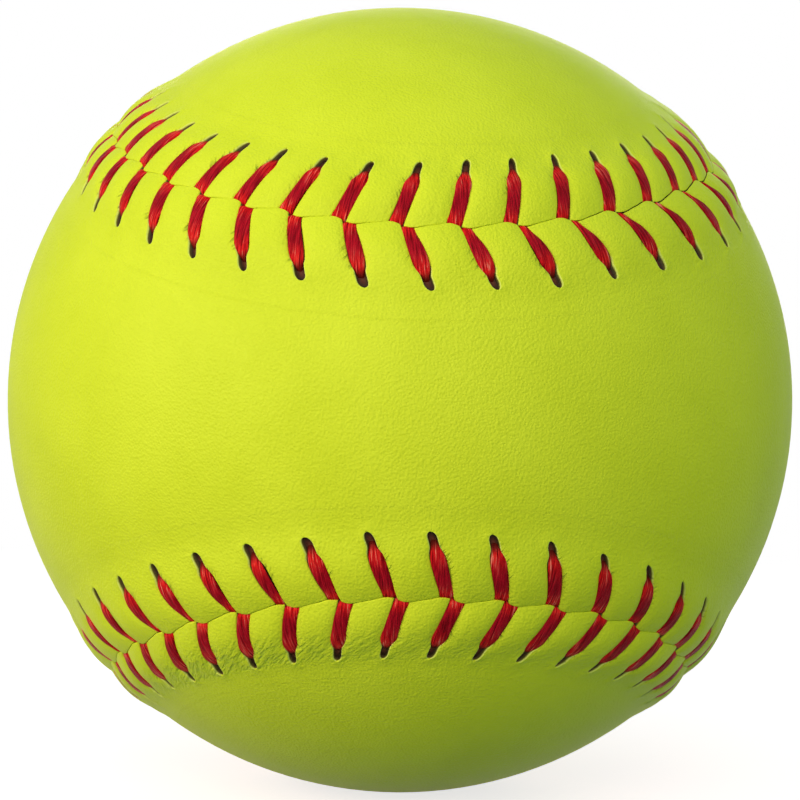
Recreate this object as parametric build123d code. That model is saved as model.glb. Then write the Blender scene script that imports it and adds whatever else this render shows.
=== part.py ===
from build123d import *
import os
from math import asin, atan, cos, pi, radians, sin, sqrt, tan

# A softball: a moulded core, a coat of glue, two figure-of-eight leather panels and the two
# threads that sew them together. The origin is the centre of the ball and +Z is up. The narrow
# waist of the front panel faces -Y and its round lobes wrap to +X and -X. The back panel is the
# same shape turned over, with its lobes at the top and the bottom.

# Driving dimensions, in millimetres, with angles in degrees seen from the centre of the ball.
ball_circumference = 304.8    # round the cover, clear of the raised seam
cover_thickness = 1.6         # leather over most of a panel
glue_thickness = 0.25         # coat between the core and the cover
waist_angle = 48.4            # seam to seam across the waist of a panel
straight_angle = 34.35        # straight stretch of the seam between two lobes
stitch_pairs = 44             # stitches of each thread on each side of the seam
seam_gap = 0.1                # between the two leather edges
rim_thickness = 1.0           # leather drawn thin along the seam
rim_round = 0.45              # rounding of each leather edge, in the crease
rim_fall = 2.2                # width over which the raised crest falls to the ball
rim_foot = 1.0                # level leather kept outside that fall
crest_margin = 0.3            # crest beyond the thread where it comes up
thread_diameter = 0.9
thread_clearance = 0.06       # round the thread in its groove and in the channel under the rim
thread_bend_slack = 0.1       # bend radius of the thread's middle line over its own radius
thread_end_gap = 2.0          # between the two hidden ends of a thread
groove_depth = 0.6            # how far a stitch is pulled into the crest
hole_reach = 7.5              # seam line to the far end of each thread hole
hole_length = 2.6
hole_clearance = 0.1          # each side of the thread in a hole or an edge notch
front_hole_lag = 2.8          # how far a front hole lies behind its stitch's crossing
back_hole_lag = 1.9
crossing_gap = 0.7            # between the two threads where they go down into the seam

# Sizes that follow from them.
ball_radius = ball_circumference / (2 * pi)
cover_underside = ball_radius - cover_thickness
core_radius = cover_underside - glue_thickness
thread_radius = thread_diameter / 2
thread_bend = thread_radius + thread_bend_slack
groove_radius = thread_radius + thread_clearance
hole_width = thread_diameter + 2 * hole_clearance
crossing_spacing = thread_diameter + crossing_gap
stitch_count = 2 * stitch_pairs
rim_crest = hole_reach - hole_length + hole_width + crest_margin
rim_width = rim_crest + rim_fall + rim_foot
cutter_reach = 2 * cover_thickness
waist_half = radians(waist_angle / 2)
lobe_angle = atan((sqrt(2) * cos(radians(straight_angle / 2)) - sin(waist_half)) / cos(waist_half))
FRONT = 1
BACK = -1
CENTRE = Vector(0, 0, 0)


def seam_plane(axis, point):
    """Plane across the seam at a point of it: x runs to the front panel and y away from the centre."""
    along = axis.cross(point).normalized()
    return Plane(origin=CENTRE, x_dir=point.cross(along), z_dir=along)


def touch_point(lobe, crossing, side):
    """Where the straight stretch through a crossing touches the lobe about a given middle."""
    apart = lobe.dot(crossing)
    near_lobe = cos(lobe_angle)
    near_crossing = apart / near_lobe
    share = 1 - apart ** 2
    along_lobe = (near_lobe - apart * near_crossing) / share
    along_crossing = (near_crossing - apart * near_lobe) / share
    foot = lobe * along_lobe + crossing * along_crossing
    rise = lobe.cross(crossing).normalized() * sqrt(1 - foot.dot(foot))
    return max(foot + rise, foot - rise, key=lambda point: side * point.Y)


def make_seam():
    """The seam as eight arcs on the ball, in sewing order: axis, first plane, turn and length."""
    reach = waist_half + lobe_angle
    lobes = [
        (Vector(0, -cos(reach), sin(reach)), BACK),
        (Vector(-sin(reach), cos(reach), 0), FRONT),
        (Vector(0, -cos(reach), -sin(reach)), BACK),
        (Vector(sin(reach), cos(reach), 0), FRONT),
    ]
    arcs = []
    for number, (lobe, side) in enumerate(lobes):
        following = lobes[(number + 1) % len(lobes)][0]
        before = (lobe + lobes[number - 1][0]).normalized()
        after = (lobe + following).normalized()
        entry = touch_point(lobe, before, side)
        leave = touch_point(lobe, after, side)
        landing = touch_point(following, after, -side)

        hub = lobe * cos(lobe_angle)
        turn = (entry - hub).get_signed_angle(leave - hub, lobe * side) % 360
        length = ball_radius * sin(lobe_angle) * radians(turn)
        arcs.append((lobe * side, seam_plane(lobe * side, entry), turn, length))

        axis = leave.cross(landing).normalized()
        turn = leave.get_angle(landing)
        arcs.append((axis, seam_plane(axis, leave), turn, ball_radius * radians(turn)))
    return arcs


SEAM = make_seam()
seam_length = sum(length for axis, plane, turn, length in SEAM)
stitch_pitch = seam_length / stitch_count
first_crossing = (SEAM[0][3] + stitch_pitch) / 2


def plane_along(distance):
    """The plane across the seam at a distance along it."""
    distance = distance % seam_length
    for axis, plane, turn, length in SEAM:
        if distance <= length:
            break
        distance -= length
    about = Axis(CENTRE, axis)
    angle = turn * distance / length
    return Plane(
        origin=CENTRE,
        x_dir=plane.x_dir.rotate(about, angle),
        z_dir=plane.z_dir.rotate(about, angle),
    )


def on_ball(plane, across, height):
    """The point at a distance across the cover from the seam, and a height above the ball."""
    angle = across / ball_radius
    radius = ball_radius + height
    return plane.from_local_coords((radius * sin(angle), radius * cos(angle), 0))


def stitch_line(number, side):
    """Directions from the centre to where a stitch comes up in its hole and goes down the seam."""
    middle = first_crossing + number * stitch_pitch
    lag = front_hole_lag if side == FRONT else back_hole_lag
    hole_end = on_ball(plane_along(middle - lag), side * hole_reach, 0)
    crossing = on_ball(plane_along(middle - side * crossing_spacing / 2), 0, 0)
    inward = (crossing - hole_end).normalized()
    riser = hole_end + inward * (hole_length - hole_width / 2)
    return riser.normalized(), crossing.normalized()


def longest_hidden_run():
    """Length of a thread's run under a panel, from one stitch's crossing to the next one's hole."""
    runs = []
    for side in (FRONT, BACK):
        crossing = stitch_line(0, side)[1]
        riser = stitch_line(1, -side)[0]
        runs.append((crossing - riser).length * ball_radius)
    return max(runs)


# Heights above the ball. A straight hidden run dips below its ends by the sag of its chord.
run_sag = ball_radius - sqrt(ball_radius ** 2 - (longest_hidden_run() / 2) ** 2)
run_height = groove_radius + run_sag - cover_thickness
rim_under = run_height + groove_radius
rim_top = rim_under + rim_thickness
stitch_height = rim_top - groove_depth + groove_radius


def fall_arcs(spot, high, low):
    """A soft step from the crest to the ball in two equal arcs, level at both ends."""
    drop = (high - low) / 2
    half = rim_fall / 2
    radius = (half ** 2 + drop ** 2) / (2 * drop)
    lean = asin(half / radius) / 2
    along = radius * sin(lean)
    down = radius * (1 - cos(lean))
    foot = rim_crest + rim_fall
    middle = spot(rim_crest + half, low + drop)
    upper = ThreePointArc(spot(rim_crest, high), spot(rim_crest + along, high - down), middle)
    lower = ThreePointArc(middle, spot(foot - along, low + down), spot(foot, low))
    return [upper, lower]


def rim_outline(plane, side):
    """Outline of a panel's sewn rim, from the underside round the leather edge to the top."""
    def spot(across, height):
        return on_ball(plane, side * across, height)

    def level(first, last, height):
        middle = (first + last) / 2
        return ThreePointArc(spot(first, height), spot(middle, height), spot(last, height))

    edge = seam_gap / 2
    shoulder = rim_top - rim_round
    bevel = rim_round * (1 - sqrt(0.5))
    rounding = spot(edge + bevel, rim_top - bevel)
    return [
        level(rim_crest + rim_fall, rim_width, -cover_thickness),
        *fall_arcs(spot, rim_under, -cover_thickness),
        level(edge, rim_crest, rim_under),
        Line(spot(edge, rim_under), spot(edge, shoulder)),
        ThreePointArc(spot(edge, shoulder), rounding, spot(edge + rim_round, rim_top)),
        level(edge + rim_round, rim_crest, rim_top),
        *fall_arcs(spot, rim_top, 0),
        level(rim_crest + rim_fall, rim_width, 0),
    ]


def level_leather(side, height):
    """A panel's level face inside its rim: the smaller share of a ball, cut along the seam's line."""
    ring = []
    for axis, plane, turn, length in SEAM:
        about = Axis(CENTRE, axis)
        start = on_ball(plane, side * rim_width, height)
        ring.append(ThreePointArc(start, start.rotate(about, turn / 2), start.rotate(about, turn)))
    poles = (0, 0, 1) if side == FRONT else (1, 0, 0)
    ball = Plane(origin=CENTRE, x_dir=(0, side, 0), z_dir=poles) * Sphere(ball_radius + height)
    return ball.face().split(Wire(ring), keep=Keep.ALL).sort_by(SortBy.AREA)[0]


def whole_panel(side):
    """One leather panel before it is punched, closed from its faces."""
    skin = [level_leather(side, 0), level_leather(side, -cover_thickness)]
    for axis, plane, turn, length in SEAM:
        for line in rim_outline(plane, side):
            skin.append(Face.revolve(line.edge(), turn, Axis(CENTRE, axis)))
    return Solid(Shell(skin))


def stitch_holes(side):
    """The long holes that a panel's stitches come up through, each in line with its stitch."""
    ends = hole_length - hole_width
    punch = extrude(SlotCenterToCenter(ends, hole_width), cutter_reach, both=True)
    holes = []
    for number in range(stitch_count):
        riser, crossing = stitch_line(number, side)
        outward = (riser * riser.dot(crossing) - crossing).normalized()
        middle = riser * ball_radius + outward * (ends / 2)
        holes.append(Plane(origin=middle, x_dir=outward, z_dir=riser) * punch)
    return holes


def stitch_grooves(side):
    """The grooves that the stitches press into a panel's crest, from hole to seam."""
    grooves = []
    for number in range(stitch_count):
        start, end = (way * (ball_radius + stitch_height) for way in stitch_line(number, side))
        place = Plane(origin=start, z_dir=end - start)
        grooves.append(extrude(place * Circle(groove_radius), (end - start).length))
    return grooves


def edge_notches():
    """The notches in the leather edges where two threads go down into the seam side by side."""
    nip = extrude(SlotCenterToCenter(crossing_spacing, hole_width), cutter_reach, both=True)
    notches = []
    for number in range(stitch_count):
        across = plane_along(first_crossing + number * stitch_pitch)
        place = Plane(origin=across.y_dir * ball_radius, x_dir=across.z_dir, z_dir=across.y_dir)
        notches.append(place * nip)
    return notches


def cover_panel(side):
    """One leather panel, punched and notched for its stitches."""
    panel = whole_panel(side)
    for cutters in (stitch_holes(side), edge_notches(), stitch_grooves(side)):
        panel = panel.cut(*[cutter.solid() for cutter in cutters]).solid()
    return panel


def rounded_route(corners, radius):
    """A line through corners, in straight runs joined by tangent arcs of one radius."""
    edges = []
    start = corners[0]
    for before, corner, after in zip(corners, corners[1:], corners[2:]):
        into = (corner - before).normalized()
        out = (after - corner).normalized()
        trim = radius * tan(radians(into.get_angle(out)) / 2)
        edges.append(Edge.make_line(start, corner - into * trim))
        start = corner + out * trim
        edges.append(Edge.make_tangent_arc(corner - into * trim, into, start))
    edges.append(Edge.make_line(start, corners[-1]))
    return Wire(edges)


def sewing_thread(first_side):
    """One thread: up through a hole, over its panel, down the seam and under the other panel."""
    low = ball_radius + run_height
    high = ball_radius + stitch_height
    corners = []
    for number in range(stitch_count):
        side = first_side if number % 2 == 0 else -first_side
        riser, crossing = stitch_line(number, side)
        corners += [riser * low, riser * high, crossing * high, crossing * low]
    last_run = corners[0] - corners[-1]
    middle = corners[-1] + last_run / 2
    half_gap = last_run.normalized() * (thread_end_gap / 2)
    route = rounded_route([middle + half_gap, *corners, middle - half_gap], thread_bend)
    section = Plane(origin=route @ 0, z_dir=route % 0) * Circle(thread_radius)
    return sweep(section, route)


pieces = {
    "core": Sphere(core_radius),
    "glue_coat": Sphere(cover_underside) - Sphere(core_radius),
    "front_panel": cover_panel(FRONT),
    "back_panel": cover_panel(BACK),
    "first_thread": sewing_thread(FRONT),
    "second_thread": sewing_thread(BACK),
}

os.makedirs("parts", exist_ok=True)
for name, piece in pieces.items():
    export_step(piece, f"parts/{name}.step")
print(f"seam {seam_length:.1f} mm long, a stitch every {stitch_pitch:.2f} mm, crest {rim_top:.2f} mm high")
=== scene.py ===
from math import atan, cos, pi, radians, sin, sqrt

import bpy
import numpy as np
from mathutils import Matrix, Vector


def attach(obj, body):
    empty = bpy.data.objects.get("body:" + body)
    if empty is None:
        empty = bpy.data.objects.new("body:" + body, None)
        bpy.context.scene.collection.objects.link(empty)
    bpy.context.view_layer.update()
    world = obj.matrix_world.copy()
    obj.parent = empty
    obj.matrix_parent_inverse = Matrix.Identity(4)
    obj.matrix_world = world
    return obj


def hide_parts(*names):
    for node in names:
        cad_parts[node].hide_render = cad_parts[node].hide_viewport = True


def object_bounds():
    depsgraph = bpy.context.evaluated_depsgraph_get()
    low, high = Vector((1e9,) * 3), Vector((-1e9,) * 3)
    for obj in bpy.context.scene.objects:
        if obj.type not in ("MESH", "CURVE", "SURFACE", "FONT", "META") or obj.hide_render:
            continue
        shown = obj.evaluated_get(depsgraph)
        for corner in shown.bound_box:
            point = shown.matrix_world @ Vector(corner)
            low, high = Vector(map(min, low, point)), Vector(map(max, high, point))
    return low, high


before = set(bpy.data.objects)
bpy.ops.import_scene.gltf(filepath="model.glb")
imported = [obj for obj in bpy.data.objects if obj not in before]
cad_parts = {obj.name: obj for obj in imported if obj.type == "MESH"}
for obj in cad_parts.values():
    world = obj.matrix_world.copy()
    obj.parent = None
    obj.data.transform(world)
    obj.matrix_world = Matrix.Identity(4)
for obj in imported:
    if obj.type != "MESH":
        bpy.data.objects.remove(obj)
cad_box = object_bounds()

# A softball. The two leather panels and the two sewing threads of the CAD model are replaced by
# surfaces with the form of sewn leather and pulled thread; the core and the glue coat stay.
# Sizes are in millimetres until a mesh is made, and angles are seen from the centre of the ball.
MM = 0.001
FRONT = 1
BACK = -1

# The ball and the line of its seam, as in the CAD model.
ball_radius = 304.8 / (2 * pi)
cover_thickness = 1.6
waist_half = radians(48.4 / 2)
straight_half = radians(34.35 / 2)
stitch_count = 88
hole_lag = {FRONT: 2.8, BACK: 1.9}          # how far a hole lies behind its stitch's crossing

# The sewn edge. Its gap and its crossings are closer than in the CAD model.
seam_gap = 0.02
crossing_spacing = 1.22       # between the two threads where they go down into the seam
hole_reach = {FRONT: 7.45, BACK: 7.65}      # seam line to the far end of a hole
rim_under = -0.43             # underside of the leather along the seam
rim_under_reach = 6.4         # how far from the seam that underside runs
full_under_reach = 8.6        # from where on the leather has its full thickness

# The form of the sewn rim, by distance from the seam line.
crest_places = [0.0, 0.5, 1.0, 2.0, 3.0, 4.0, 5.0, 6.0, 7.0, 8.0, 9.0]
crest_heights = [0.31, 0.42, 0.54, 0.70, 0.77, 0.74, 0.62, 0.43, 0.23, 0.08, 0.0]
rim_end = 10.4
edge_round = 0.06             # rounding of each leather edge into the crease, more where it is open
press_share = 0.42            # how far a stitch presses the leather down beside it
press_spread = 0.10           # how much that differs from stitch to stitch
calm_start = 0.1              # past a hole's far end, from where the pressing dies away
sway_height = 0.29            # sway of the seam line at each stitch
sway_lean = 0.25              # share of a second wave that makes the sway lean
sway_reach = 2.4
ring_reach = 12.0             # where the fine grid along the seam has become a coarse one
front_pull = 0.35             # how far the front panel is drawn towards +X

# The holes.
hole_half = 0.52
hole_width_spread = 0.08      # how much their widths differ, as a share
hole_end_spread = 0.08        # how much their far ends differ
hole_taper = 0.75             # length of a hole's oval far end
hole_open = 2.3               # from where the thread bends down to the hole's far end
hole_lead = 0.4               # stretch before that bend, where the groove falls to the hole's floor
hole_floor = -0.40
wall_foot = 0.06              # before the far end, where the floor climbs back to the leather's top
wall_top = 0.01
pinch = 0.05                  # half the width of a hole where its far end closes
fan_slope = 0.4               # how fast the columns open again past that end
lip_height = 0.14             # the leather pushed up round a hole
lip_reach = 0.7
lip_full = 0.5                # before the far end, from where a lip has its full height

# The flattened thread.
ribbon_shares = [0.0, 0.08, 0.28, 0.50, 0.66, 0.78]     # of the way from the seam to the hole's end
ribbon_halves = {
    FRONT: [0.78, 0.72, 0.78, 0.83, 0.76, 0.42],
    BACK: [0.80, 0.75, 0.77, 0.80, 0.82, 0.45],
}
ribbon_room = 0.08            # between the thread and the side of its groove
ribbon_sunk = 0.36            # middle of the thread below the crest of the leather
ribbon_bed = 0.32             # middle of the thread above the floor of its groove
ribbon_spread = 0.05          # how much the width differs from stitch to stitch, as a share
lift_spread = 0.02            # how much the height differs
point_reach = 2.1             # from the seam to where a pointed thread has its full width
deep_half = 0.42              # half the width where the thread runs under a panel
oblong = 0.8                  # power that turns the thread's oval section into a rounded oblong
ply_count = 5
ply_ripple = 0.05             # height of a ply, as a share of the section
ply_twist = 0.5               # radians for each millimetre of thread

# The thread's route over a stitch, from its hole to the seam. The first places are past the bend
# into the hole and the others from the seam, on a stitch of plain length. A dive is below the
# thread's line over the crest or, where the thread is deep down, below the ball's surface.
bend_places = np.array([1.02, 0.66, 0.00, -0.70])
seam_places = np.array([3.4, 2.5, 1.6, 0.85, 0.30, 0.06, 0.02])
dive = np.array([-0.95, -0.26, -0.10, 0, 0, 0, 0, 0, 0, -0.22, -0.95])
deep_down = np.array([1, 1, 0, 0, 0, 0, 0, 0, 0, 0, 1])
half_thick = np.array([0.36, 0.30, 0.28, 0.25, 0.24, 0.24, 0.24, 0.25, 0.26, 0.30, 0.36])
# painted highlight on the thread's bends
bend_highlight = np.array([1, 1, 1, 0.7, 0.1, 0, 0.1, 0.6, 1, 1, 1])
shaded = np.array([1, 0.85, 0, 0, 0, 0, 0, 0, 0, 0, 1])

# Unevenness of sewing by hand: the middle stitch, the stitches it spreads over, and millimetres.
sewing_drift = [(1.5, 2.0, 0.45), (-6.0, 2.8, -1.2), (8.5, 2.0, -1.0)]
seam_wander = [(-9.0, 1.9, 1.6), (8.7, 1.5, 0.65), (37.0, 3.0, -0.95), (51.0, 2.6, -1.3)]
long_stitches = {
    FRONT: [(-7.0, 2.6, 1.3), (44.0, 2.6, 0.55), (50.5, 2.8, -1.20)],
    BACK: [(-2.0, 2.8, 0.75), (42.0, 4.0, 0.25)],
}
open_seam = [(-6.5, 3.6, 0.08), (22.0, 5.0, 0.10), (42.0, 6.0, 0.04), (66.0, 6.0, 0.08)]
bowed = {
    FRONT: [(-6.0, 4.0, -0.60), (7.0, 4.0, 0.30), (36.5, 3.0, -0.70), (50.0, 2.8, 1.00)],
    BACK: [(-6.0, 4.0, -0.25), (7.0, 4.0, 0.30), (37.5, 4.0, -0.45), (50.0, 4.0, 0.20)],
}
front_hole_drift = [(36.0, 3.2, 1.5), (46.5, 3.0, -0.65)]
# The same as shares: how pointed or, below 0, flared the thread is at the seam, and how puckered
# the leather is between stitches.
pointed_ends = {
    FRONT: [(-5.5, 4.0, 0.85), (5.5, 4.0, -0.25), (25.0, 5.0, 0.4), (37.0, 3.4, 0.75), (49.0, 3.6, -0.35)],
    BACK: [(5.5, 4.0, -0.30), (49.0, 4.0, -0.20), (62.0, 5.0, 0.4)],
}
puckered = {
    FRONT: [(14.0, 6.0, 0.3), (68.0, 7.0, 0.5)],
    BACK: [(39.5, 4.0, 0.9), (47.5, 3.0, 0.25), (66.0, 6.0, 0.5)],
}

# Marks on the leather that its material reads. The painted shade is 0 on the open skin; it darkens an open
# crease, a groove's floor and a hole, where a painted reddish glint lightens the middle of the floor.
crease_shade = 0.5            # painted shade in a crease wider to each side than open_half
open_half = 0.03
crease_edge = 0.9             # share of the edge's rounding that counts as the crease
# painted shade on the floor of a groove and of a hole
groove_shade = 0.75
glint_lift = 0.25            # added along the middle of a hole's floor, for a painted reddish glint
glint_fade = (1.1, 0.2)       # before the far end, between which that fades
ruck_width = 0.4
ruck_start = (2.0, 4.0)       # from the seam
pucker_start = (2.0, 5.0)
pucker_end = (-0.4, 0.8)      # past a hole's far end

# Grid sizes. Rows and columns crowd together where a form is small, by a power of their share.
columns = 24                  # for each stitch, along the seam
inner_columns = 4             # from the middle of a stitch to the edge of its groove
column_crowding = 1.6
coarse_step = 8               # fine columns for each coarse one
thinning_rows = [(2, 10.8), (4, 11.4)]      # fine columns for each column, and distance from the seam
edge_rows = 3                 # round the leather's edge
edge_crowding = 1.4
leg_rows = 14                 # from there to the hole
hole_rows = 7
tip_rows = 7                  # along the hole's oval far end
past_rows = 6                 # from there to the end of the rim
past_crowding = 1.5
inside_rows = 14              # from the ring to the middle of a panel
tube_sides = 20
tube_steps = 4                # rings for each stretch between two places on a thread's route
weld_steps = 100              # for each millimetre, where points in one place are joined


def unit(vectors):
    """Each vector divided by its own length."""
    return vectors / np.linalg.norm(vectors, axis=-1, keepdims=True)


def smooth(value, low, high):
    """A soft step from 0 at low to 1 at high: 3 t squared less 2 t cubed."""
    t = np.clip((value - low) / (high - low), 0, 1)
    return t * t * (3 - 2 * t)


def shares(count):
    """Even shares of the way to an end, without the start, on the first axis of three."""
    return np.linspace(0, 1, count + 1)[1:, None, None]


def curve_through(value, stations, levels):
    """A curve through levels at stations: a cubic on each stretch, whose slope at a station is
    worked out from that station's neighbours."""
    stations = np.asarray(stations, float)
    levels = np.asarray(levels, float)
    slopes = np.gradient(levels, stations, axis=0)
    n = np.clip(np.searchsorted(stations, value, side="right") - 1, 0, len(stations) - 2)
    step = stations[n + 1] - stations[n]
    t = np.clip((value - stations[n]) / step, 0, 1)
    if levels.ndim > 1:
        t = t[..., None]
        step = step[..., None]
    start = (1 + 2 * t) * (1 - t) ** 2 * levels[n] + t * (1 - t) ** 2 * step * slopes[n]
    end = t ** 2 * (3 - 2 * t) * levels[n + 1] + t ** 2 * (t - 1) * step * slopes[n + 1]
    return start + end


# The seam: eight arcs on the ball, four round the lobes and four straight ones between them.
lobe_angle = atan((sqrt(2) * cos(straight_half) - sin(waist_half)) / cos(waist_half))
lobe_reach = waist_half + lobe_angle
waist_arc = {FRONT: 7, BACK: 1}             # number of the straight arc at which a panel's waist starts


def touch_point(lobe, crossing, side):
    """Where the straight stretch through a crossing touches the lobe about a given middle: the
    point at the lobe's angle from that middle whose ways to the middle and to the crossing are
    square to each other."""
    apart = lobe @ crossing
    near_lobe = cos(lobe_angle)
    near_crossing = apart / near_lobe
    share = 1 - apart ** 2
    foot = lobe * (near_lobe - apart * near_crossing) / share
    foot = foot + crossing * (near_crossing - apart * near_lobe) / share
    rise = unit(np.cross(lobe, crossing)) * sqrt(1 - foot @ foot)
    return max(foot + rise, foot - rise, key=lambda point: side * point[1])


def make_seam():
    """Axis, first point and turn of each arc, in sewing order: round each lobe from where the seam
    touches it to where it leaves, and then along a great circle to the next lobe."""
    out, up = sin(lobe_reach), cos(lobe_reach)
    top, left = np.array([0, -up, out]), np.array([-out, up, 0])
    bottom, right = np.array([0, -up, -out]), np.array([out, up, 0])
    lobes = [(top, BACK), (left, FRONT), (bottom, BACK), (right, FRONT)]
    arcs = []
    for number, (lobe, side) in enumerate(lobes):
        following = lobes[(number + 1) % len(lobes)][0]
        before = unit(lobe + lobes[number - 1][0])
        after = unit(lobe + following)
        entry = touch_point(lobe, before, side)
        leave = touch_point(lobe, after, side)
        landing = touch_point(following, after, -side)
        spoke = unit(entry - lobe * (lobe @ entry))
        level = np.cross(lobe * side, spoke)
        turn = np.arctan2(leave @ level, leave @ spoke) % (2 * pi)
        arcs.append((lobe * side, entry, turn))
        arcs.append((unit(np.cross(leave, landing)), leave, 2 * straight_half))
    return [np.array(values) for values in zip(*arcs)]


arc_axes, arc_points, arc_turns = make_seam()
arc_lengths = arc_turns * np.linalg.norm(np.cross(arc_axes, arc_points), axis=1) * ball_radius
arc_starts = np.cumsum(arc_lengths) - arc_lengths
seam_length = arc_lengths.sum()
stitch_pitch = seam_length / stitch_count
first_crossing = (arc_lengths[0] + stitch_pitch) / 2


def seam_frame(along):
    """The seam's point at a distance along it, as a direction from the centre, with the direction
    along the seam and the one across it to the front panel: an arc's first point turned about
    the arc's axis."""
    along = np.mod(along, seam_length)
    arc = np.searchsorted(arc_starts, along, side="right") - 1
    angle = (along - arc_starts[arc]) / arc_lengths[arc] * arc_turns[arc]
    axis, first = arc_axes[arc], arc_points[arc]
    c, s = np.cos(angle)[..., None], np.sin(angle)[..., None]
    steady = axis * np.sum(axis * first, axis=-1, keepdims=True)
    point = first * c + np.cross(axis, first) * s + steady * (1 - c)
    forward = unit(np.cross(axis, point))
    return point, forward, np.cross(point, forward)


def on_ball(along, across, height):
    """The point at a distance along the seam, a distance across the cover from it and a height
    above the ball: the seam's point turned towards the front panel by across over the radius."""
    point, _, front = seam_frame(along)
    angle = np.asarray(across / ball_radius)[..., None]
    radius = np.asarray(ball_radius + height)[..., None]
    return radius * (front * np.sin(angle) + point * np.cos(angle))


stitches = np.arange(stitch_count)


def bells(parts, number):
    """At stitch numbers, the sum of a few bell curves, each the exponential of minus the square of
    the distance from its middle stitch over its width."""
    total = 0 * number
    for middle, width, amount in parts:
        apart = (number - middle + stitch_count / 2) % stitch_count - stitch_count / 2
        total = total + amount * np.exp(-(apart / width) ** 2)
    return total


crossings = first_crossing + stitches * stitch_pitch + bells(sewing_drift, stitches)
far_ends = {side: hole_reach[side] + bells(long_stitches[side], stitches) for side in (FRONT, BACK)}
seam_ends = {side: 1 - bells(pointed_ends[side], stitches) for side in (FRONT, BACK)}
bows = {side: bells(bowed[side], stitches) for side in (FRONT, BACK)}
pull_along = front_pull * seam_frame(crossings)[1][:, 0] + bells(front_hole_drift, stitches)


def stitch_number(along):
    """Which stitch a distance along the seam falls at, as a number with a fraction: a straight line
    between each two crossings, carried on over every round of the seam."""
    rounds = np.floor((along - crossings[0]) / seam_length)
    known = np.append(crossings, crossings[0] + seam_length)
    within = np.interp(along - rounds * seam_length, known, np.arange(stitch_count + 1))
    return within + rounds * stitch_count


def swayed(side, distance, along):
    """Signed place across the seam of a point of one panel: its distance from the seam line, less
    the line's sway, a leaning sine with one wave for each stitch that dies away from the seam, and
    with the line's wandering, which the leather takes up as far as the end of the rim."""
    number = stitch_number(along)
    turn = 2 * pi * number
    sway = sway_height * (np.sin(turn) + sway_lean * np.sin(2 * turn))
    wander = bells(seam_wander, number) * (1 - smooth(distance, 0, rim_end))
    return side * distance + wander - sway * np.exp(-(distance / sway_reach) ** 2)


def stitch_offset(side, distance, far_end, pull, bow):
    """How far along the seam a stitch lies from the middle of its crossing: a straight line from
    the crossing to the hole's far end, bowed by a parabola, and level beyond that end."""
    start = -side * crossing_spacing / 2
    end = -hole_lag[side] + (pull if side == FRONT else 0)
    share = np.minimum(distance / far_end, 1)
    return start + (end - start) * share + 4 * bow * share * (1 - share)


def ribbon_half(side, distance, far_end, seam_end):
    """Half the width of the flattened thread: a curve from the seam to the hole, drawn in or flared
    towards the seam by the stitch's own share."""
    half = curve_through(distance / far_end, ribbon_shares, ribbon_halves[side])
    return half * (1 - (1 - seam_end) * np.exp(-(distance / point_reach) ** 2))


def groove_half(side, distance, far_end, seam_end, size):
    """Half the width of the groove that a stitch lies in, of its hole past the thread, which ends
    in half an oval, and of the fan of columns that opens again past that end."""
    ribbon = ribbon_half(side, distance, far_end, seam_end) + ribbon_room
    hole = hole_half * size
    past = np.clip((distance - far_end) / hole_taper + 1, 0, 1)
    end = hole * np.sqrt(1 - past ** 2)
    fan = pinch + fan_slope * np.maximum(distance - far_end, 0)
    return np.maximum(np.where(past > 0, end, np.maximum(ribbon, hole)), fan)


def shared(values, column):
    """Values of the stitches, eased over the columns to the mean of two neighbours between them."""
    own = values[None, :, None]
    before, after = np.roll(values, 1)[None, :, None], np.roll(values, -1)[None, :, None]
    beside = np.where(column < 0, before, after)
    return own + (beside - own) * 0.5 * (column / (columns / 2)) ** 2


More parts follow.
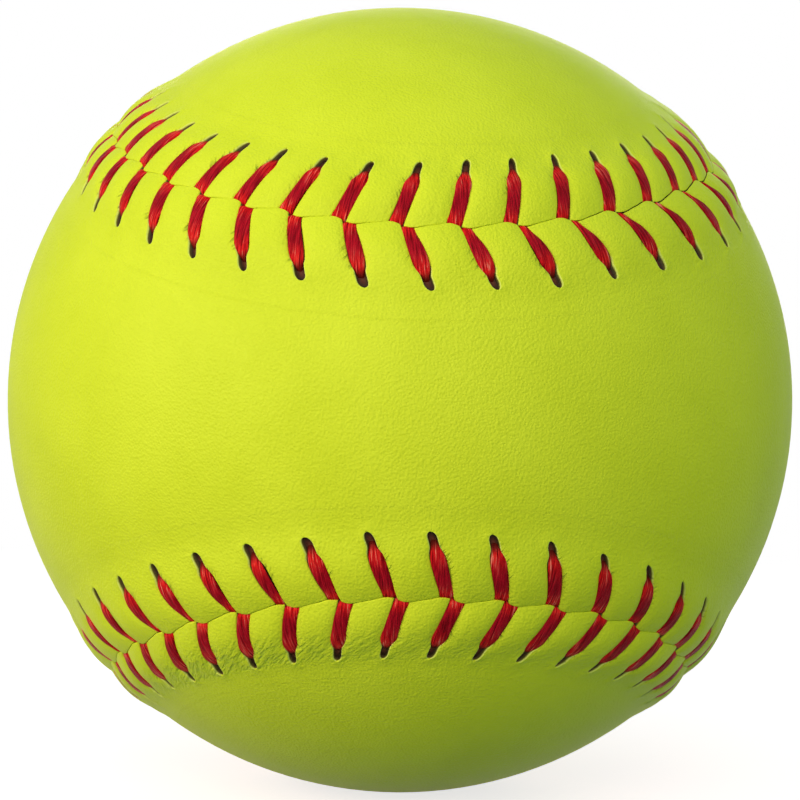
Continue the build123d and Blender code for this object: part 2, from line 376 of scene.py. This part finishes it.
def panel_rim(side, rng):
    """The outer skin of a panel beside the seam, as rows of points with their attributes.

    Columns follow the stitches. Between two stitches the leather swells to the crest's height, and
    it falls to each groove by the cube of its nearness; columns inside a groove lie on its floor,
    and those inside a hole lie deep down. A lip stands round each hole by a bell curve.
    """
    column = np.arange(columns)[None, None, :] - columns // 2
    count = np.abs(column)
    size = 1 + hole_width_spread * rng.standard_normal((1, stitch_count, 1))
    swell = 1 + press_spread * rng.standard_normal((1, stitch_count, 1))
    far_end = shared(far_ends[side] + hole_end_spread * rng.standard_normal(stitch_count), column)
    gap = shared(seam_gap + bells(open_seam, stitches), column) / 2
    rounding = edge_round + gap
    seam_end = seam_ends[side][None, :, None]
    pull = pull_along[None, :, None]
    bow = bows[side][None, :, None]

    edge_shares = np.linspace(0, 1, edge_rows + 1)[:, None, None] ** edge_crowding
    hole_start = far_end - hole_open - hole_lead
    tip_start = far_end - hole_taper
    distance = np.concatenate([
        gap + rounding * edge_shares,
        gap + rounding + (hole_start - gap - rounding) * shares(leg_rows),
        hole_start + (tip_start - hole_start) * shares(hole_rows),
        tip_start + hole_taper * np.sin(shares(tip_rows) * pi / 2),
        far_end + (rim_end - far_end) * shares(past_rows) ** past_crowding,
    ])

    middle = crossings[None, :, None] + stitch_offset(side, distance, far_end, pull, bow)
    own = middle[:, :, columns // 2, None]
    lap = np.where(stitches == stitch_count - 1, seam_length, 0)[None, :, None]
    ahead = (np.roll(own, -1, axis=1) + lap - own) / 2
    behind = np.roll(ahead, 1, axis=1)
    half = np.where(column < 0, behind, ahead)
    groove = groove_half(side, distance, far_end, seam_end, size)
    inner = groove * np.minimum(count / inner_columns, 1)
    outer_share = np.clip((count - inner_columns) / (columns / 2 - inner_columns), 0, 1)
    spread = outer_share ** column_crowding
    outer = groove + (half - groove) * spread
    inside = count < inner_columns
    beside = np.sign(column) * np.where(inside, inner, outer)
    settle = smooth(distance, far_end, rim_end)
    steps = stitches[None, :, None] + column / columns
    even = first_crossing + settled_offset(side) + steps * stitch_pitch
    along = (own + beside) * (1 - settle) + even * settle

    crest = curve_through(distance, crest_places, crest_heights)
    edge = np.clip(1 - (distance - gap) / rounding, 0, 1)
    roll = rounding * (1 - np.sqrt(1 - edge ** 2))
    nearness = (1 - spread) ** 3
    calm = smooth(distance, far_end + calm_start, rim_end)
    top = crest * (1 - press_share * swell * nearness * (1 - calm)) - roll
    from_hole = np.hypot(np.maximum(np.abs(beside) - groove, 0), np.maximum(distance - far_end, 0))
    lip = lip_height * np.exp(-(from_hole / lip_reach) ** 2)
    top = top + lip * smooth(distance, hole_start, far_end - lip_full)
    past_hole = smooth(distance, far_end - wall_foot, far_end - wall_top)
    in_hole = smooth(distance, hole_start, hole_start + hole_lead) * (1 - past_hole)
    floor = crest - ribbon_sunk - ribbon_bed - roll
    floor = floor * (1 - in_hole) + hole_floor * in_hole
    floor = floor * (1 - past_hole) + top * past_hole
    height = np.where(inside, floor, top)

    # Painted shade: dark on a groove's floor and in a hole, with a painted reddish glint along the hole's
    # middle, and dark in an open crease.
    glint = in_hole * (1 - count / inner_columns)
    glint = glint * (1 - smooth(distance, far_end - glint_fade[0], far_end - glint_fade[1]))
    floor_shade = (groove_shade + glint_lift * glint) * (1 - past_hole)
    painted_shade = np.where(inside, floor_shade, crease_shade * (edge > crease_edge) * (gap > open_half))
    # Rucks beside a stitch; the material darkens their creases with painted shade.
    ruck = np.exp(-((beside - groove) / ruck_width) ** 2) * (column > 0)
    ruck = ruck * smooth(distance, *ruck_start) * (1 - smooth(distance, hole_start, far_end))
    # Puckers between the stitches; the material darkens their folds with painted shade.
    pucker = shared(bells(puckered[side], stitches), column) * smooth(distance, *pucker_start)
    pucker = pucker * (1 - smooth(distance, far_end + pucker_end[0], far_end + pucker_end[1]))
    marks = {
        "painted_shade": painted_shade,
        # a pale cut edge round a hole, partly a painted highlight
        "cut_edge_highlight": (count == inner_columns) * in_hole,
        "ruck": ruck,
        "pucker": pucker,
        "seam_place": np.stack([along, distance, 0 * along], axis=-1),
    }
    marks = {name: values.reshape(-1, *values.shape[3:]) for name, values in marks.items()}
    points = on_ball(along, swayed(side, distance, along), height)
    return points.reshape(len(distance), stitch_count * columns, 3), marks


def settled_offset(side):
    """The stitch's offset beyond its hole, moved to the nearest sixth of a pitch so that the coarse
    columns from both edges of a waist meet on its middle line."""
    sixth = stitch_pitch / 6
    return -round(hole_lag[side] / sixth) * sixth


def level_columns(side, step):
    """Evenly spaced places along the seam, one for each step of the fine columns."""
    column = np.arange(stitch_count * columns // step) * step
    return first_crossing + settled_offset(side) + (column / columns - 0.5) * stitch_pitch


def level_row(side, step, distance, height):
    """One row of evenly spaced points along the seam, at a distance from it and a height."""
    along = level_columns(side, step)
    return on_ball(along, side * distance + 0 * along, height + 0 * along)


def spine_row(side):
    """Directions to where a panel's coarse columns end: the middle of its own lobe, and along the
    waist a point that moves evenly from one lobe's middle to the other's."""
    along = level_columns(side, coarse_step)
    waist = arc_lengths[0] + 2 * arc_lengths[1]
    past = np.mod(along - arc_starts[waist_arc[side]], seam_length)
    share = np.clip(np.mod(past, seam_length / 2) / waist, 0, 1)
    way = np.where(past < seam_length / 2, 1, -1)
    angle = way * (pi - lobe_reach) * (1 - 2 * share)
    nothing = 0 * angle
    if side == FRONT:
        return np.stack([np.sin(angle), -np.cos(angle), nothing], axis=-1)
    return np.stack([nothing, np.cos(angle), np.sin(angle)], axis=-1)


def inside_skin(side, height):
    """Rows from the ring to the middle line of a panel, each point a share of the way along the
    great circle from its place on the ring to its place on the middle line."""
    ring = unit(level_row(side, coarse_step, ring_reach, 0))
    spine = spine_row(side)
    angle = np.arccos(np.clip(np.sum(ring * spine, axis=-1, keepdims=True), -1, 1))
    share = shares(inside_rows)
    ways = (ring * np.sin((1 - share) * angle) + spine * np.sin(share * angle)) / np.sin(angle)
    return list(ways * (ball_radius + height))


def weld(points):
    """Numbers that are the same for points in the same place, to a hundredth of a millimetre."""
    places = np.round(points * weld_steps).astype(int)
    first, same = np.unique(places, axis=0, return_index=True, return_inverse=True)[1:]
    return first[same.ravel()]


def sew_rows(rows):
    """Points and triangles of a skin from rows that run round the seam. Two rows with the same
    count are joined by pairs of triangles; where one has fewer points, its points fan out."""
    points = np.concatenate(rows)
    starts = np.cumsum([0] + [len(row) for row in rows])
    numbers = np.arange(len(points))
    for row in (0, len(rows) - 1):
        numbers[starts[row]:starts[row + 1]] = starts[row] + weld(rows[row])
    faces = []
    for row, (low, high) in enumerate(zip(rows, rows[1:])):
        fine_is_low = len(low) >= len(high)
        many, few = (low, high) if fine_is_low else (high, low)
        ratio = len(many) // len(few)
        many_start = starts[row] if fine_is_low else starts[row + 1]
        few_start = starts[row + 1] if fine_is_low else starts[row]
        i = np.arange(len(many))
        c = np.arange(len(few))
        a, b = many_start + i, many_start + (i + 1) % len(many)
        apex = few_start + ((i + ratio // 2) // ratio) % len(few)
        d, e = few_start + c, few_start + (c + 1) % len(few)
        turn = many_start + (c * ratio + ratio // 2 + (ratio == 1)) % len(many)
        if fine_is_low:
            faces += [np.stack([a, b, apex], 1), np.stack([turn, e, d], 1)]
        else:
            faces += [np.stack([b, a, apex], 1), np.stack([d, e, turn], 1)]
    faces = numbers[np.concatenate(faces)]
    first, second, third = faces.T
    whole = (first != second) & (second != third) & (third != first)
    return points, faces[whole]


def make_piece(name, points, faces, attributes, material, node):
    """A mesh object from arrays, in metres, that stands for a CAD node and rides with the ball."""
    used, packed = np.unique(faces, return_inverse=True)
    mesh = bpy.data.meshes.new(name)
    mesh.from_pydata((points[used] * MM).tolist(), [], packed.reshape(-1, 3).tolist())
    for title, values in attributes.items():
        kind, key = ("FLOAT_VECTOR", "vector") if values.ndim > 1 else ("FLOAT", "value")
        layer = mesh.attributes.new(title, kind, "POINT")
        layer.data.foreach_set(key, values[used].astype(np.float32).ravel())
    mesh.shade_smooth()
    mesh.materials.append(material)
    piece = bpy.data.objects.new(name, mesh)
    bpy.context.scene.collection.objects.link(piece)
    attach(piece, "root")
    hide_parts(node)


def leather_panel(name, node, side, material, seed):
    """One panel, from the middle of its underside round the sewn edge to the middle of its top."""
    skin, marks = panel_rim(side, np.random.default_rng(seed))
    low = -cover_thickness
    under = [
        *inside_skin(side, low)[::-1],
        level_row(side, coarse_step, ring_reach, low),
        level_row(side, coarse_step, full_under_reach, low),
        level_row(side, coarse_step, rim_under_reach, rim_under),
    ]
    edge = unit(skin[0, ::coarse_step]) * (ball_radius + rim_under)
    over = [
        *[level_row(side, step, distance, 0) for step, distance in thinning_rows],
        level_row(side, coarse_step, ring_reach, 0),
        *inside_skin(side, 0),
    ]
    points, faces = sew_rows([*under, edge, *skin, *over])
    if side == BACK:
        faces = faces[:, ::-1]
    before = sum(len(row) for row in under) + len(edge)
    attributes = {}
    for title, values in marks.items():
        whole = np.zeros((len(points), *values.shape[1:]))
        whole[before:before + len(values)] = values
        attributes[title] = whole
    make_piece(name, points, faces, attributes, material, node)


def thread_route(first_side, rng):
    """Places on a thread's route, stitch after stitch on alternate panels: along the seam, signed
    distance from it, height, half width, half thickness, painted highlight on bends and painted shade."""
    route = []
    for number in range(stitch_count):
        side = first_side if number % 2 == 0 else -first_side
        far_end = far_ends[side][number]
        bend_start = far_end - hole_open
        distances = np.concatenate([bend_start + bend_places, seam_places * far_end / hole_reach[side]])
        offset = stitch_offset(side, distances, far_end, pull_along[number], bows[side][number])
        along = crossings[number] + offset
        crest = curve_through(distances, crest_places, crest_heights) - ribbon_sunk
        lift = np.where(deep_down, dive, crest + dive) + lift_spread * rng.standard_normal()
        width = ribbon_half(side, distances, far_end, seam_ends[side][number])
        width = np.where(deep_down, deep_half, width * (1 + ribbon_spread * rng.standard_normal()))
        values = [along, side * distances, lift, width, half_thick, bend_highlight, shaded]
        route.append(np.stack(values, axis=1))
    return np.concatenate(route)


def sewing_thread(name, node, first_side, material, seed):
    """One thread as a flattened tube along its route: up through a hole, over the crest of its
    panel, down into the seam and under the other panel to the next hole.

    Each ring is a rounded oblong in the plane across the route, with its width along the seam and
    a ripple round it for the plies, which turn slowly along the thread.
    """
    route = thread_route(first_side, np.random.default_rng(seed))
    station = np.concatenate([[0], np.cumsum(np.linalg.norm(np.diff(route[:, :3], axis=0), axis=1))])
    share = np.arange(tube_steps) / tube_steps
    fine = station[:-1, None] + np.diff(station)[:, None] * share
    fine = np.concatenate([fine.ravel(), station[-1:]])
    along, signed, lift, width, thick, bend, shade = curve_through(fine, station, route).T

    side = np.where(signed >= 0, FRONT, BACK)
    middle = on_ball(along, swayed(side, np.abs(signed), along), lift)
    forward = unit(np.gradient(middle, axis=0))
    seam_way = seam_frame(along)[1]
    wide = unit(seam_way - forward * np.sum(seam_way * forward, axis=1, keepdims=True))
    deep = np.cross(forward, wide)

    angle = np.linspace(0, 2 * pi, tube_sides, endpoint=False)
    c, s = np.cos(angle), np.sin(angle)
    flat_c = np.sign(c) * np.abs(c) ** oblong
    flat_s = np.sign(s) * np.abs(s) ** oblong
    ply = 1 + ply_ripple * np.cos(ply_count * angle[None, :] + ply_twist * fine[:, None])
    across = width[:, None] * flat_c * ply
    up = thick[:, None] * flat_s * ply
    rings = middle[:, None] + across[..., None] * wide[:, None] + up[..., None] * deep[:, None]

    ring = np.arange(len(fine) - 1)[:, None] * tube_sides
    a = ring + np.arange(tube_sides)
    b = ring + (np.arange(tube_sides) + 1) % tube_sides
    quads = [np.stack([a, b, b + tube_sides], -1), np.stack([a, b + tube_sides, a + tube_sides], -1)]
    fan = np.arange(1, tube_sides - 1)
    last = (len(fine) - 1) * tube_sides
    first_cap = np.stack([0 * fan, fan + 1, fan], -1)
    last_cap = np.stack([last + 0 * fan, last + fan, last + fan + 1], -1)
    faces = np.concatenate([*[quad.reshape(-1, 3) for quad in quads], first_cap, last_cap])
    lengthwise = np.broadcast_to(fine[:, None], across.shape)
    attributes = {
        "thread_place": np.stack([lengthwise, across, up], axis=-1).reshape(-1, 3),
        "bend": np.repeat(bend, tube_sides),
        # painted highlight on the thread's bends
        "shade": np.repeat(shade, tube_sides),
    }
    make_piece(name, rings.reshape(-1, 3), faces, attributes, material, node)


# Materials.


def new_material(name):
    """A material with its node tree and its main shader."""
    material = bpy.data.materials.new(name)
    material.use_nodes = True
    return material, material.node_tree, material.node_tree.nodes["Principled BSDF"]


def node(tree, kind, inputs, **settings):
    """A node with its settings and inputs; an input that is another node's output is linked."""
    made = tree.nodes.new(kind)
    for name, value in settings.items():
        setattr(made, name, value)
    for name, value in inputs.items():
        feed(tree, made.inputs[name], value)
    return made


def feed(tree, socket, value):
    """Link an output to a socket, or set a plain value on it."""
    if isinstance(value, bpy.types.NodeSocket):
        tree.links.new(value, socket)
    else:
        socket.default_value = value


def own_place(tree):
    """The place on the object itself."""
    return node(tree, "ShaderNodeTexCoord", {}).outputs["Object"]


def attribute(tree, name, output="Fac"):
    """One of the piece's own attributes."""
    return node(tree, "ShaderNodeAttribute", {}, attribute_name=name).outputs[output]


def noise(tree, vector, scale, detail, roughness=0.5):
    """The level of a noise pattern."""
    made = node(tree, "ShaderNodeTexNoise", {
        "Vector": vector, "Scale": scale, "Detail": detail, "Roughness": roughness,
    })
    return made.outputs["Fac"]


def stretched(tree, vector, factors):
    """A vector with each part multiplied by its own factor."""
    made = node(tree, "ShaderNodeVectorMath", {}, operation="MULTIPLY")
    feed(tree, made.inputs[0], vector)
    feed(tree, made.inputs[1], factors)
    return made.outputs["Vector"]


def bump(tree, height, strength, distance, below=None, invert=False):
    """The normal of a relief, whose distance is in millimetres, laid over the relief below it."""
    inputs = {"Strength": strength, "Distance": distance * MM, "Height": height}
    if below is not None:
        inputs["Normal"] = below
    return node(tree, "ShaderNodeBump", inputs, invert=invert).outputs["Normal"]


def mix_colour(tree, factor, first, second):
    """The output of a colour mix."""
    made = tree.nodes.new("ShaderNodeMix")
    made.data_type = "RGBA"
    sockets = {socket.identifier: socket for socket in made.inputs}
    feed(tree, sockets["Factor_Float"], factor)
    feed(tree, sockets["A_Color"], first)
    feed(tree, sockets["B_Color"], second)
    return next(socket for socket in made.outputs if socket.identifier == "Result_Color")


def ramp(tree, factor, stops):
    """The colour output of a ramp with (place, colour) stops."""
    made = node(tree, "ShaderNodeValToRGB", {"Fac": factor})
    elements = made.color_ramp.elements
    for number, (place, colour) in enumerate(stops):
        element = elements[number] if number < 2 else elements.new(place)
        element.position = place
        element.color = colour
    return made.outputs["Color"]


def spread_range(tree, value, low, high, new_low, new_high):
    """A value carried from one range to another."""
    made = node(tree, "ShaderNodeMapRange", {
        "Value": value, "From Min": low, "From Max": high, "To Min": new_low, "To Max": new_high,
    })
    return made.outputs["Result"]


def product(tree, first, second):
    """Two values multiplied."""
    made = node(tree, "ShaderNodeMath", {}, operation="MULTIPLY")
    feed(tree, made.inputs[0], first)
    feed(tree, made.inputs[1], second)
    return made.outputs["Value"]


def looked_at(tree):
    """1 for light that goes to the camera, straight or by way of a gloss or glass, and else 0."""
    path = node(tree, "ShaderNodeLightPath", {})
    seen = path.outputs["Is Camera Ray"]
    for name in ("Is Glossy Ray", "Is Transmission Ray"):
        larger = node(tree, "ShaderNodeMath", {}, operation="MAXIMUM")
        feed(tree, larger.inputs[0], seen)
        feed(tree, larger.inputs[1], path.outputs[name])
        seen = larger.outputs["Value"]
    return seen


def leather_material():
    """Dyed leather: a soft mottle, a fine pebbled grain, puckers between the stitches and rucks beside
    them, both darkened by painted shade in their creases, a pale cut edge round each hole that is
    partly a painted highlight, and painted shade in the crease, the grooves and the holes, with a
    painted reddish glint along a hole's floor."""
    material, tree, shader = new_material("yellow_leather")
    place = own_place(tree)
    seam = attribute(tree, "seam_place", "Vector")
    painted_shade, cut_edge_highlight, ruck, pucker = [attribute(tree, name) for name in ("painted_shade", "cut_edge_highlight", "ruck", "pucker")]

    mottle = noise(tree, place, scale=90, detail=4, roughness=0.6)
    dents = noise(tree, place, scale=200, detail=0.5, roughness=0.4)
    pores = noise(tree, place, scale=5200, detail=3, roughness=0.6)
    pebbles = node(tree, "ShaderNodeTexVoronoi", {
        "Vector": place, "Scale": 3400, "Smoothness": 0.7,
    }, feature="SMOOTH_F1")
    creases = noise(tree, stretched(tree, seam, (2.2, 0.5, 1.0)), scale=1, detail=3)
    slanted = node(tree, "ShaderNodeMapping", {"Vector": seam, "Rotation": (0, 0, radians(-60))})
    ticks = noise(tree, stretched(tree, slanted.outputs["Vector"], (0.5, 2.6, 1.0)), scale=1, detail=2)
    tick = product(tree, spread_range(tree, ticks, 0.54, 0.64, 0.0, 1.0), ruck)
    leaning = node(tree, "ShaderNodeMapping", {
        "Vector": seam, "Rotation": (0, 0, radians(56)), "Scale": (0.45, 1.7, 1.0),
    }, vector_type="TEXTURE")
    folds = noise(tree, leaning.outputs["Vector"], scale=1, detail=1.5)
    fold = product(tree, spread_range(tree, folds, 0.40, 0.66, 0.0, 1.0), pucker)

    dyed = ramp(tree, mottle, [
        (0.30, (0.670, 0.710, 0.018, 1)),
        (0.70, (0.735, 0.770, 0.026, 1)),
    ])
    pore = spread_range(tree, pores, 0.35, 0.75, 0.0, 0.12)
    pored = mix_colour(tree, pore, dyed, (0.46, 0.58, 0.02, 1))
    # Painted shade in the valleys of the puckers' folds.
    fold_shaded = mix_colour(tree, product(tree, fold, 0.3), pored, (0.30, 0.48, 0.03, 1))
    # Painted shade in the creases of the rucks.
    tick_shaded = mix_colour(tree, product(tree, tick, 0.5), fold_shaded, (0.16, 0.24, 0.015, 1))
    # A pale cut edge round each hole, partly a painted highlight on the hole's wall.
    edged_and_highlit = mix_colour(tree, product(tree, cut_edge_highlight, 0.22), tick_shaded, (0.84, 0.82, 0.50, 1))
    # Painted shade in the crease, the grooves and the holes, up to a painted reddish glint on a hole's
    # floor.
    inside = ramp(tree, painted_shade, [
        (0.25, (0.110, 0.080, 0.015, 1)),
        (0.75, (0.034, 0.018, 0.008, 1)),
        (1.00, (0.150, 0.036, 0.018, 1)),
    ])
    # How much of the painted shade covers the leather's colour.
    painted_shade_share = spread_range(tree, painted_shade, 0.10, 0.30, 0.0, 1.0)
    feed(tree, shader.inputs["Base Color"], mix_colour(tree, painted_shade_share, edged_and_highlit, inside))
    feed(tree, shader.inputs["Roughness"], spread_range(tree, pores, 0.3, 0.7, 0.44, 0.60))
    shader.inputs["Specular IOR Level"].default_value = 0.12

    relief = bump(tree, dents, strength=0.3, distance=0.12)
    relief = bump(tree, creases, strength=0.3, distance=0.12, below=relief)
    relief = bump(tree, fold, strength=0.6, distance=0.16, below=relief, invert=True)
    relief = bump(tree, tick, strength=0.9, distance=0.15, below=relief, invert=True)
    relief = bump(tree, pebbles.outputs["Distance"], strength=0.9, distance=0.07, below=relief)
    relief = bump(tree, pores, strength=0.6, distance=0.05, below=relief)
    feed(tree, shader.inputs["Normal"], relief)
    return material


def thread_material():
    """Waxed red thread: fine filaments that twist slowly along it, crimson on its flat with a painted
    highlight of bright red to orange on its bends, painted shade where it goes down into a hole or
    under a panel, a waxy gloss on their backs and painted shade between them."""
    material, tree, shader = new_material("waxed_red_thread")
    place = attribute(tree, "thread_place", "Vector")
    twisted = node(tree, "ShaderNodeMapping", {"Vector": place, "Rotation": (0, 0, radians(12))})
    drawn = stretched(tree, twisted.outputs["Vector"], (0.45, 7.0, 3.0))
    filaments = noise(tree, drawn, scale=1, detail=3, roughness=0.55)
    # Crimson filaments, with painted shade in the darker streaks between them.
    crimson = ramp(tree, filaments, [
        (0.34, (0.17, 0.002, 0.005, 1)),
        (0.50, (0.37, 0.004, 0.013, 1)),
        (0.66, (0.52, 0.008, 0.018, 1)),
    ])
    # Painted highlight on the thread's bends: bright red to orange streaks.
    highlight_red = ramp(tree, filaments, [
        (0.34, (0.20, 0.001, 0.003, 1)),
        (0.48, (0.72, 0.008, 0.010, 1)),
        (0.60, (0.88, 0.030, 0.020, 1)),
        (0.68, (0.95, 0.280, 0.180, 1)),
    ])
    lit = mix_colour(tree, attribute(tree, "bend"), crimson, highlight_red)
    # Painted shade where the thread goes down into a hole or under a panel.
    shaded_thread = mix_colour(tree, attribute(tree, "shade"), lit, (0.10, 0.010, 0.006, 1))
    feed(tree, shader.inputs["Base Color"], shaded_thread)
    feed(tree, shader.inputs["Roughness"], spread_range(tree, filaments, 0.35, 0.65, 0.50, 0.26))
    shader.inputs["Specular IOR Level"].default_value = 0.03
    feed(tree, shader.inputs["Normal"], bump(tree, filaments, strength=1.0, distance=0.16))
    return material


def moulded_material(name, pale, dark, scale, roughness):
    """A cast or brushed-on finish: a slow change of tone and a faint dimpled surface."""
    material, tree, shader = new_material(name)
    place = own_place(tree)
    tone = noise(tree, place, scale=scale, detail=5, roughness=0.6)
    dimples = noise(tree, place, scale=scale * 12, detail=3)
    feed(tree, shader.inputs["Base Color"], ramp(tree, tone, [(0.35, dark), (0.65, pale)]))
    shader.inputs["Roughness"].default_value = roughness
    feed(tree, shader.inputs["Normal"], bump(tree, dimples, strength=0.4, distance=0.2))
    return material


leather = leather_material()
thread = thread_material()
leather_panel("front_leather", "front_panel", FRONT, leather, seed=11)
leather_panel("back_leather", "back_panel", BACK, leather, seed=12)
sewing_thread("first_stitching", "first_thread", FRONT, thread, seed=21)
sewing_thread("second_stitching", "second_thread", BACK, thread, seed=22)

inside_finishes = {
    "core": moulded_material(
        "moulded_core", pale=(0.88, 0.86, 0.79, 1), dark=(0.80, 0.78, 0.70, 1), scale=60, roughness=0.75,
    ),
    "glue_coat": moulded_material(
        "latex_glue", pale=(0.84, 0.80, 0.65, 1), dark=(0.72, 0.67, 0.50, 1), scale=90, roughness=0.45,
    ),
}
for name, finish in inside_finishes.items():
    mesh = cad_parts[name].data
    mesh.materials.clear()
    mesh.materials.append(finish)


# Stage: a pale floor that sweeps up behind the ball, a white surround and soft lamps, in metres.
white = (1, 1, 1, 1)
lamp_colour = (1.0, 0.89, 0.83)


def floor_material(lift, shadow_end, white_start):
    """A pale matt sheet. Where it is looked at, it is lifted towards white, which near the ball
    leaves the shadow, and it becomes plain white further off; to other light it is a cool grey."""
    material, tree, shader = new_material("pale_floor")
    tree.nodes.remove(shader)
    seen = looked_at(tree)
    sheet = node(tree, "ShaderNodeBsdfDiffuse", {
        "Color": mix_colour(tree, seen, (0.13, 0.24, 0.23, 1), (0.73, 0.53, 0.53, 1)),
    })
    lifted = node(tree, "ShaderNodeEmission", {"Strength": product(tree, seen, lift)})
    near = tree.nodes.new("ShaderNodeAddShader")
    feed(tree, near.inputs[0], sheet.outputs["BSDF"])
    feed(tree, near.inputs[1], lifted.outputs["Emission"])

    apart = node(tree, "ShaderNodeVectorMath", {}, operation="LENGTH")
    feed(tree, apart.inputs[0], own_place(tree))
    away = spread_range(tree, apart.outputs["Value"], shadow_end, white_start, 0.0, 1.0)
    far = node(tree, "ShaderNodeEmission", {"Strength": 1.0})
    whole = node(tree, "ShaderNodeMixShader", {"Fac": product(tree, seen, away)})
    feed(tree, whole.inputs[1], near.outputs["Shader"])
    feed(tree, whole.inputs[2], far.outputs["Emission"])
    feed(tree, tree.nodes["Material Output"].inputs["Surface"], whole.outputs["Shader"])
    return material


def make_floor(material):
    """A sheet from before the ball to behind it: level, then a quarter circle up, then upright."""
    front, bend, radius, top, half = -1.5, 0.7, 0.5, 1.5, 2.5
    bend_points = 24
    level = cad_box[0].z
    angle = np.linspace(0, pi / 2, bend_points)
    deep = np.concatenate([[front], bend + radius * np.sin(angle), [bend + radius]])
    high = np.concatenate([[0], radius * (1 - np.cos(angle)), [top]]) + level
    left = np.stack([0 * deep - half, deep, high], axis=1)
    right = np.stack([0 * deep + half, deep, high], axis=1)
    n = np.arange(len(deep) - 1)
    quads = np.stack([n, n + len(deep), n + 1 + len(deep), n + 1], axis=1)
    mesh = bpy.data.meshes.new("floor")
    mesh.from_pydata(np.concatenate([left, right]).tolist(), [], quads.tolist())
    mesh.shade_smooth()
    mesh.materials.append(material)
    floor = bpy.data.objects.new("floor", mesh)
    bpy.context.scene.collection.objects.link(floor)


def soft_lamp(name, direction, distance, size, power):
    """A square lamp at a distance in a direction from the ball, facing it."""
    lamp = bpy.data.lights.new(name, "AREA")
    lamp.size = size
    lamp.energy = power
    lamp.color = lamp_colour
    holder = bpy.data.objects.new(name, lamp)
    holder.location = Vector(direction).normalized() * distance
    holder.rotation_euler = (-holder.location).to_track_quat("-Z", "Y").to_euler()
    holder.visible_camera = False
    bpy.context.scene.collection.objects.link(holder)


def make_world(ambient):
    """A dim even surround that looks white to the camera."""
    world = bpy.data.worlds.new("studio")
    world.use_nodes = True
    bpy.context.scene.world = world
    tree = world.node_tree
    tint = mix_colour(tree, looked_at(tree), ambient, white)
    feed(tree, tree.nodes["Background"].inputs["Color"], tint)


def make_camera(azimuth, elevation, roll, distance, lens):
    """A camera that looks at the ball's centre, turned about its own line of sight by the roll."""
    a, e, r = radians(azimuth), radians(elevation), radians(roll)
    back = Vector((sin(a) * cos(e), -cos(a) * cos(e), sin(e)))
    level = Vector((0, 0, 1)).cross(back).normalized()
    upright = back.cross(level)
    right = level * cos(r) + upright * sin(r)
    up = upright * cos(r) - level * sin(r)
    turned = Matrix((right, up, back)).transposed().to_4x4()
    data = bpy.data.cameras.new("camera")
    data.sensor_width = 36
    data.lens = lens
    camera = bpy.data.objects.new("camera", data)
    camera.matrix_world = Matrix.Translation(back * distance) @ turned
    bpy.context.scene.collection.objects.link(camera)
    bpy.context.scene.camera = camera


make_floor(floor_material(lift=0.72, shadow_end=0.10, white_start=0.32))
make_world(ambient=(0.28, 0.48, 0.52, 1))
soft_lamp("key", (-0.85, -0.48, 0.22), distance=0.65, size=0.32, power=2.25)
soft_lamp("front", (-0.08, -0.90, 0.36), distance=0.80, size=0.50, power=2.75)
soft_lamp("back", (0.12, 0.97, 0.14), distance=0.80, size=0.50, power=4.00)
camera_distance = 6.144 * ball_radius * MM
make_camera(azimuth=-3.94, elevation=1.717, roll=1.147, distance=camera_distance, lens=107.06)
bpy.context.scene.view_settings.view_transform = "Standard"
